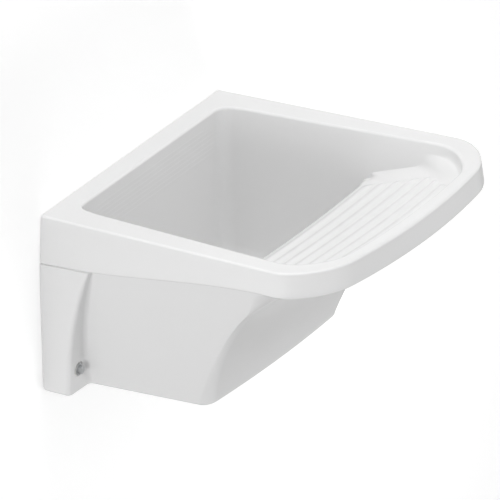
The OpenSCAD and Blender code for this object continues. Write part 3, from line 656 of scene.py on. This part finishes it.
# ---- Washers ----------------------------------------------------------------------------
# Flat washers of zinc plated steel under the six heads, which spread their load. Punching leaves
# the underside crisp and rolls the upper edge.
washer_r, washer_t, roll_edge = 10.0, 1.6, 0.5
washer_side = rounded([(screw_hole_r, 0, 0.15), (washer_r, 0, 0.15),
                       (washer_r, washer_t, roll_edge), (screw_hole_r, washer_t, 0.3)], 4)
washer_zinc = finish_material("washer_plating", (0.60, 0.61, 0.61), (0.47, 0.48, 0.49),
                              0.30, 0.48, 170.0, 0.12, metal=1.0)
for node, points, head_y in (("hanger_washers", hanger_points, hanger_head_y),
                             ("wing_washers", wing_points, wing_head_y)):
    washer = lathe("washer", washer_side, METRES, 72)
    fit(scatter(node + "_punched", washer, points, head_y - washer_t, 0, washer_zinc),
        node, washer_zinc)

# ---- Wing bushes ------------------------------------------------------------------------
# A white nylon bush in the hole through each wing: a sleeve round the screw and a flange that
# keeps the steel washer off the glaze.
sleeve_r, bush_flange, sleeve_start = 6.9, 2.0, 2.0
bush_side = rounded([
    (screw_hole_r, sleeve_start, 0.4), (sleeve_r, sleeve_start, 0.8),
    (sleeve_r, wing_low_d, 0.2), (washer_r, wing_low_d, 0.4),
    (washer_r, wing_low_d + bush_flange, 0.7), (screw_hole_r, wing_low_d + bush_flange, 0.4)], 4)
nylon = finish_material("white_nylon", (0.78, 0.78, 0.75), (0.74, 0.74, 0.71),
                        0.38, 0.5, 120.0, 0.1)
bush = lathe("bush", bush_side, METRES, 72)
fit(scatter("bushes_moulded", bush, wing_points, 0, 0, nylon),
    "wing_bushes", nylon)

# ---- Wall plugs -------------------------------------------------------------------------
# Six plugs moulded in grey nylon, pushed into holes in the wall. Barbs run round each, and two
# slots through its far half let the screw spread it.
plug_r, plug_core_r, plug_l, plug_bore_l, plug_edge = 6.0, 5.4, 60.0, 52.0, 0.3
plug_slots_at, plug_slot = 33.0, 1.2
mouth_edge, mouth_l, mouth_foot = 0.2, 2.0, 2.6
barb_first, barb_pitch, barb_count, barb_front, barb_back, barb_tail = 6.0, 4.5, 11, 0.8, 0.4, 1.8
point_at, point_mid, point_mid_r, point_r = 57.0, 59.0, 4.6, 3.6
plug_side = [(screw_hole_r, -mouth_edge), (screw_hole_r + mouth_edge, 0), (plug_r - plug_edge, 0),
             (plug_r, -plug_edge), (plug_r, -mouth_l), (plug_core_r, -mouth_foot)]
for k in range(barb_count):
    at = -barb_first - k * barb_pitch
    plug_side += [(plug_core_r, at + barb_front), (plug_r, at + barb_back), (plug_r, at),
                  (plug_core_r, at - barb_tail)]
plug_side += [(plug_core_r, -point_at), (point_mid_r, -point_mid), (point_r, -plug_l),
              (0, -plug_l), (0, -plug_bore_l), (screw_hole_r - 1, -plug_bore_l),
              (screw_hole_r, 1 - plug_bore_l)]


def box_of(half_x, half_y):
    """The corners of a rectangle round the middle."""
    return [(-half_x, -half_y), (half_x, -half_y), (half_x, half_y), (-half_x, half_y)]


plug_nylon = finish_material("grey_nylon", (0.30, 0.31, 0.32), (0.26, 0.27, 0.28),
                             0.42, 0.55, 120.0, 0.15)
for node, points in (("hanger_plugs", hanger_points), ("wing_plugs", wing_points)):
    plug = lathe("plug", plug_side, METRES, 64)
    for turn in (0, math.pi / 2):
        cut(plug, prism("slot", box_of(plug_r + over, plug_slot / 2), -plug_l - over,
                        -plug_slots_at, METRES @ Matrix.Rotation(turn, 4, "Z")))
    fit(scatter(node + "_barbed", plug, points, 0, 0, plug_nylon),
        node, plug_nylon)

# ---- Strainer ---------------------------------------------------------------------------
# The pressed stainless steel flange in the bowl's waste hole: a rolled rim on the seal and a dish
# with eight punched slots round the centre screw.
flange_r, flange_under, dish_r, dish_top, dish_under = 36.0, 267.6, 23.0, 277.0, 278.6
dish_foot_r, dish_mouth_r, flange_edge, seat_r, m6_hole_r = 20.9, 22.4, 0.5, 24.0, 3.1
slot_count, slot_w, slot_from, slot_to = 8, 4.0, 9.66, 18.86
# for what is turned about the waste's axis from a profile of (radius, depth)
axis = METRES @ Matrix(((1, 0, 0, 0), (0, 1, 0, -waste_y), (0, 0, -1, RIM_UP), (0, 0, 0, 1)))

# a copy's share of the full turn is its number over the count
around, ask, give = new_tree("around", (
    ("Count", "INPUT", "Int"), ("Radius", "INPUT", "Float"), ("Piece", "INPUT", "Object"),
    ("Finish", "INPUT", "Material"), ("Copies", "OUTPUT", "Geometry")))
nodes, links = around.nodes, around.links
circle, number = nodes.new("GeometryNodeMeshCircle"), nodes.new("GeometryNodeInputIndex")
share, full_turn = nodes.new("ShaderNodeMath"), nodes.new("ShaderNodeMath")
share.operation, full_turn.operation = "DIVIDE", "MULTIPLY"
full_turn.inputs[1].default_value = 2 * math.pi
spin = nodes.new("ShaderNodeCombineXYZ")
links.new(ask.outputs["Count"], circle.inputs["Vertices"])
links.new(ask.outputs["Radius"], circle.inputs["Radius"])
links.new(number.outputs[0], share.inputs[0])
links.new(ask.outputs["Count"], share.inputs[1])
links.new(share.outputs[0], full_turn.inputs[0])
links.new(full_turn.outputs[0], spin.inputs["Z"])
copy_piece(around, ask, give, circle.outputs[0], spin.outputs[0])


def ring_of(name, piece, count, radius, finish):
    """Copies of a piece round the waste's axis, each turned to look outward."""
    host = grow(name, around, bpy.data.meshes.new(name),
                {"Count": count, "Radius": radius * MM, "Piece": piece, "Finish": finish}, piece)
    host.data.transform(Matrix.Translation((0, -waste_y * MM, RIM_UP * MM)))
    return host


steel = finish_material("pressed_stainless", (0.70, 0.70, 0.70), (0.62, 0.62, 0.62),
                        0.14, 0.26, 90.0, 0.05, metal=1.0)
strainer_side = rounded([
    (m6_hole_r, dish_under, 0.3), (m6_hole_r, dish_top, 0.3), (dish_foot_r, dish_top, 2.2),
    (dish_mouth_r, bowl_depth, 2.0), (flange_r - flange_edge, bowl_depth, 0.8),
    (flange_r, flange_under, 0.1), (seat_r, flange_under, 0.2),
    (dish_r, flange_under + 1, 0.2), (dish_r, dish_under, 1.2)])
strainer = lathe("strainer", strainer_side, axis, 128)
slot_l, end_r = slot_to - slot_from, slot_w / 2 - 0.01
slot = prism("slot", rounded([
    (0, -slot_w / 2, end_r), (slot_l, -slot_w / 2, end_r), (slot_l, slot_w / 2, end_r),
    (0, slot_w / 2, end_r)]), -dish_under - 2 * over, -dish_top + 2 * over, METRES)
cut(strainer, ring_of("slots", slot, slot_count, slot_from, steel))
fit(strainer, "strainer_flange", steel)

# ---- Seals of the waste -----------------------------------------------------------------
# Three flat rings of black rubber: under the strainer's flange, over the waste's collar and in
# the coupling. Each is squeezed between the pieces that it seals.
seal_round, flange_seal_r, body_seal_r = 0.35, 35.0, 34.0
collar_top, pipe_bore, pipe_end, tail_flange, tail_top = 289.0, 20.5, 338.0, 22.9, 341.0
for node, outside, inside, top, under in (
        ("flange_seal", flange_seal_r, waste_hole_r, flange_under, seat_z),
        ("body_seal", body_seal_r, waste_hole_r, body_h - pocket_d, collar_top),
        ("coupling_seal", tail_flange, pipe_bore, pipe_end, tail_top)):
    seal = lathe(node + "_ring", rounded([
        (inside, top, seal_round), (outside, top, seal_round), (outside, under, seal_round),
        (inside, under, seal_round)], 4), axis)
    fit(seal, node, rubber)

# ---- Waste body -------------------------------------------------------------------------
# The moulded white outlet below the bowl: a collar on its seal, a cone down to a threaded pipe,
# and a boss on cross arms that takes the centre screw.
collar_r, collar_bore, collar_under, collar_edge = 35.0, 24.2, 294.0, 0.5
cone_r, cone_round, cone_end, throat = 28.0, 0.6, 306.0, 302.0
pipe_r, pipe_edge = 23.9, 0.8
pipe_thread_top, pipe_thread_end, pipe_thread_pitch, pipe_thread_cut = 307.0, 337.0, 3.2, 1.1
boss_r, boss_end, arm_t, arm_h, arm_reach = 6.5, 303.0, 3.0, 8.0, 23.0
plastic = finish_material("white_polypropylene", (0.80, 0.80, 0.79), (0.77, 0.77, 0.76),
                          0.30, 0.42, 110.0, 0.08)
pipe = [(collar_bore, collar_top), (collar_r - collar_edge, collar_top),
        (collar_r, collar_top + collar_edge), (collar_r, collar_under - collar_edge),
        (collar_r - collar_edge, collar_under), (cone_r + cone_round, collar_under),
        (cone_r, collar_under + cone_round)]
pipe += [(pipe_r, h) for h in span(cone_end, pipe_end - pipe_edge, 90)]
pipe += [(pipe_r - pipe_edge, pipe_end), (pipe_bore, pipe_end), (pipe_bore, throat)]
outlet = lathe("outlet", pipe, axis, 96, (pipe_r, pipe_thread_top, pipe_thread_end,
                                          pipe_thread_pitch, pipe_thread_cut))
cut(outlet, lathe("boss", rounded([(0, dish_under, 0), (boss_r, dish_under, 0.5),
                                   (boss_r, boss_end, 0.8), (0, boss_end, 0)]), axis), "UNION")
for turn in (0, math.pi / 2):
    along = axis @ Matrix.Rotation(turn, 4, "Z")
    cut(outlet, prism("arm", box_of(arm_reach, arm_t / 2), boss_end - arm_h, boss_end, along),
        "UNION")
cut(outlet, prism("bore", disc(m6_hole_r, 48), dish_under - over, boss_end + over, axis))
fit(outlet, "waste_body", plastic)

# ---- Waste screw ------------------------------------------------------------------------
# The M6 screw of turned stainless steel that pulls the strainer down onto the waste. Its domed
# head has a driver slot, and its shank runs down through the waste's boss.
m6_r, m6_head_r, m6_head_top, m6_end, m6_chamfer, m6_pitch, m6_cut = (
    3.0, 5.5, 274.0, 307.0, 0.8, 1.0, 0.5)
dome_steps, head_edge = ((0, 0), (3.0, 0.25), (4.6, 0.9), (m6_head_r, 1.9)), 0.2
driver_w, driver_deep, driver_turn = 1.4, 1.5, math.radians(35)
screw_side = [(r, m6_head_top + h) for r, h in dome_steps]
screw_side += [(m6_head_r, dish_top - head_edge), (m6_head_r - head_edge, dish_top)]
screw_side += [(m6_r, h) for h in span(dish_top, m6_end - m6_chamfer, 180)]
screw_side += [(m6_r - m6_chamfer, m6_end), (0, m6_end)]
bright = finish_material("turned_stainless", (0.74, 0.74, 0.74), (0.66, 0.66, 0.66),
                         0.12, 0.22, 220.0, 0.05, metal=1.0)
centre_screw = lathe("centre_screw", screw_side, axis, 48,
                     (m6_r, dish_top + m6_pitch, m6_end - m6_chamfer, m6_pitch, m6_cut))
cut(centre_screw, prism("driver", box_of(m6_head_r + over, driver_w / 2), m6_head_top - over,
                        m6_head_top + driver_deep, axis @ Matrix.Rotation(driver_turn, 4, "Z")))
fit(centre_screw, "waste_screw", bright)

# ---- Coupling nut -----------------------------------------------------------------------
# A nut moulded in white polypropylene and tightened by hand, with twelve finger grips. Its lip
# clamps the tailpiece's flange to the outlet.
nut_in, nut_r, nut_top, nut_lip, nut_end, nut_lip_r = 24.05, 28.9, 322.0, 343.5, 348.0, 21.0
grip_count, grip_r, grip_at = 12, 2.5, 28.4
nut = lathe("nut", rounded([
    (nut_in, nut_top, 0.6), (nut_r, nut_top, 1.0), (nut_r, nut_end, 1.4),
    (nut_lip_r, nut_end, 0.6), (nut_lip_r, nut_lip, 0.2), (nut_in, nut_lip, 0.4)]), axis)
grip = lathe("grip", rounded([(0, -nut_end, 0), (grip_r, -nut_end, 1.2),
                              (grip_r, -nut_top, 1.2), (0, -nut_top, 0)]), METRES, 32)
cut(nut, ring_of("grips", grip, grip_count, grip_at, plastic), "UNION")
fit(nut, "coupling_nut", plastic)

# ---- Tailpiece --------------------------------------------------------------------------
# The plain pipe of white polypropylene that the drain is joined to. The nut holds its flange
# against the coupling's seal, and its lower end is rounded off.
tail_in, tail_r, tail_end = 18.0, 20.0, 378.0
tail = lathe("tail", rounded([
    (tail_in, tail_top, 0.4), (tail_flange, tail_top, 0.4), (tail_flange, nut_lip, 0.3),
    (tail_r, nut_lip, 0.4), (tail_r, tail_end, 0.9), (tail_in, tail_end, 0.3)]), axis)
fit(tail, "tailpiece", plastic)

# ---- Plug of the bowl -------------------------------------------------------------------
# A loose plug that is lifted out by hand: a stainless steel disc with a black rubber ring under
# its rim and a turned knob on top.
disc_r, disc_top, disc_edge, disc_under = 26.0, 261.0, 263.6, 264.0
dome_h, dome_power, dome_end, disc_burr = 2.2, 2.4, 0.97, 0.2
core_r, core_end = 20.4, 270.0
core_steps = (core_r, 266.2), (19.9, 267.2), (18.6, 269.5), (17.8, core_end), (0, core_end)
foot_r, neck_r, neck_top, neck_foot = 6.0, 4.0, 251.0, 258.0
cover_side = [(disc_r * t, disc_top + dome_h * t ** dome_power) for t in span(0, dome_end, 16)]
cover_side += [(disc_r, disc_edge), (disc_r, disc_under - disc_burr / 2),
               (disc_r - disc_burr, disc_under), (core_r, disc_under), *core_steps]
cover = lathe("cover", cover_side, axis)
fit(cover, "stopper_disc", bright, "stopper")
ring = lathe("stopper_ring", rounded([
    (core_r, disc_under, 0.3), (disc_r, disc_under, 0.5), (disc_r, bowl_depth, 0.7),
    (core_r, bowl_depth, 0.3)], 4), axis)
fit(ring, "stopper_seal", rubber, "stopper")
knob = lathe("knob", rounded([
    (0, disc_top, 0), (foot_r, disc_top, 0.6), (neck_r, neck_foot, 2.0), (neck_r, neck_top, 2.0),
    (8.2, 249.0, 1.0), (9.0, 246.5, 1.5), (7.0, 243.6, 2.0), (0, 243.0, 0)]), axis, 72)
fit(knob, "stopper_knob", bright, "stopper")

# ---- Wall and floor ---------------------------------------------------------------------
# A plain white wall that the sink hangs on and a pale floor well below it. Both let the eye
# through from behind, and the wall is open where the sink covers it, so that light gets there.
floor_z, wall_y, reach = -1.25, 0.0004, 6.0
gap_x, gap_low, gap_high = 0.27, -0.27, 0.014


def backdrop(name, colour, lift):
    """A plain pale surface that keeps shadows: lift is what the camera alone sees added."""
    made = bpy.data.materials.new(name)
    made.use_nodes = True
    nodes, links = made.node_tree.nodes, made.node_tree.links
    nodes.clear()
    out = nodes.new("ShaderNodeOutputMaterial")
    paint = nodes.new("ShaderNodeBsdfDiffuse")
    paint.inputs["Color"].default_value = (*colour, 1)
    glow = nodes.new("ShaderNodeEmission")
    path = nodes.new("ShaderNodeLightPath")
    level = nodes.new("ShaderNodeMath")
    level.operation = "MULTIPLY"
    level.inputs[1].default_value = lift
    both = nodes.new("ShaderNodeAddShader")
    links.new(path.outputs["Is Camera Ray"], level.inputs[0])
    links.new(level.outputs[0], glow.inputs["Strength"])
    links.new(paint.outputs[0], both.inputs[0])
    links.new(glow.outputs[0], both.inputs[1])
    clear = nodes.new("ShaderNodeBsdfTransparent")
    face = nodes.new("ShaderNodeNewGeometry")
    pick = nodes.new("ShaderNodeMixShader")
    links.new(face.outputs["Backfacing"], pick.inputs[0])
    links.new(both.outputs[0], pick.inputs[1])
    links.new(clear.outputs[0], pick.inputs[2])
    links.new(pick.outputs[0], out.inputs["Surface"])
    return made


def sheet_of(name, corners, faces, material):
    """A flat piece of the stage."""
    mesh = bpy.data.meshes.new(name)
    mesh.from_pydata(corners, [], faces)
    mesh.materials.append(material)
    made = bpy.data.objects.new(name, mesh)
    bpy.context.scene.collection.objects.link(made)


around_gap = [(-reach, wall_y, floor_z), (reach, wall_y, floor_z),
              (reach, wall_y, reach), (-reach, wall_y, reach),
              (-gap_x, wall_y, gap_low), (gap_x, wall_y, gap_low),
              (gap_x, wall_y, gap_high), (-gap_x, wall_y, gap_high)]
sheet_of("wall", around_gap, [(0, 1, 5, 4), (1, 2, 6, 5), (2, 3, 7, 6), (3, 0, 4, 7)],
         backdrop("wall_paint", (0.80, 0.80, 0.80), 0.40))
sheet_of("floor", [(-reach, -reach, floor_z), (reach, -reach, floor_z),
                   (reach, reach, floor_z), (-reach, reach, floor_z)], [(0, 1, 2, 3)],
         backdrop("floor_paint", (0.38, 0.38, 0.38), 0.62))

# ---- Light ------------------------------------------------------------------------------
# An even white studio, and three soft lamps: level from the left, from above, and from low in
# front for the hollow under the lip. The eye, metal and glass see the studio as plain white.
white, level_all_round, level_seen = (1, 1, 1, 1), 0.61, 1.0
# name, place, width and power of each lamp
lamps = (("side", (-3.0, -0.35, 0.0), 0.9, 27.0),
         ("top", (0.0, -0.45, 3.0), 2.0, 56.0),
         ("front", (0.6, -1.75, -1.12), 1.0, 17.0))
lamps_look_at = Vector((0.0, -0.26, -0.1))

world = bpy.data.worlds.new("studio")
world.use_nodes = True
bpy.context.scene.world = world
sky, sky_links = world.node_tree.nodes, world.node_tree.links
sky.clear()
sky_out = sky.new("ShaderNodeOutputWorld")
all_round, seen = sky.new("ShaderNodeBackground"), sky.new("ShaderNodeBackground")
all_round.inputs["Color"].default_value = seen.inputs["Color"].default_value = white
all_round.inputs["Strength"].default_value = level_all_round
seen.inputs["Strength"].default_value = level_seen
sky_path, sky_mix = sky.new("ShaderNodeLightPath"), sky.new("ShaderNodeMixShader")
eye, through = sky.new("ShaderNodeMath"), sky.new("ShaderNodeMath")
eye.operation = through.operation = "MAXIMUM"
sky_links.new(sky_path.outputs["Is Camera Ray"], eye.inputs[0])
sky_links.new(sky_path.outputs["Is Glossy Ray"], eye.inputs[1])
sky_links.new(eye.outputs[0], through.inputs[0])
sky_links.new(sky_path.outputs["Is Transmission Ray"], through.inputs[1])
sky_links.new(through.outputs[0], sky_mix.inputs[0])
sky_links.new(all_round.outputs[0], sky_mix.inputs[1])
sky_links.new(seen.outputs[0], sky_mix.inputs[2])
sky_links.new(sky_mix.outputs[0], sky_out.inputs["Surface"])

for name, where, size, power in lamps:
    lamp = bpy.data.lights.new(name, "AREA")
    lamp.shape, lamp.size, lamp.energy = "DISK", size, power
    lamp_object = bpy.data.objects.new(name, lamp)
    bpy.context.scene.collection.objects.link(lamp_object)
    lamp_object.location = where
    lamp_object.visible_glossy = lamp_object.visible_camera = False
    aim = lamps_look_at - lamp_object.location
    lamp_object.rotation_euler = aim.to_track_quat("-Z", "Y").to_euler()

# ---- Camera -----------------------------------------------------------------------------
# The photograph's view has almost no perspective, so a very long lens looks from far off, in
# front on the left and above.
camera_az, camera_el, camera_away = math.radians(60.844), math.radians(23.768), 32.3571
lens, sensor_w, far_end = 1500, 36, 100
target = Vector((-0.14416, -0.29455, -0.02707))
look = Vector((math.sin(camera_az) * math.cos(camera_el),
               math.cos(camera_az) * math.cos(camera_el), -math.sin(camera_el)))
camera_data = bpy.data.cameras.new("camera")
camera_data.lens, camera_data.sensor_width, camera_data.clip_end = lens, sensor_w, far_end
camera = bpy.data.objects.new("camera", camera_data)
bpy.context.scene.collection.objects.link(camera)
camera.location = target - look * camera_away
camera.rotation_euler = look.to_track_quat("-Z", "Y").to_euler()
bpy.context.scene.camera = camera
bpy.context.scene.view_settings.view_transform = "Standard"
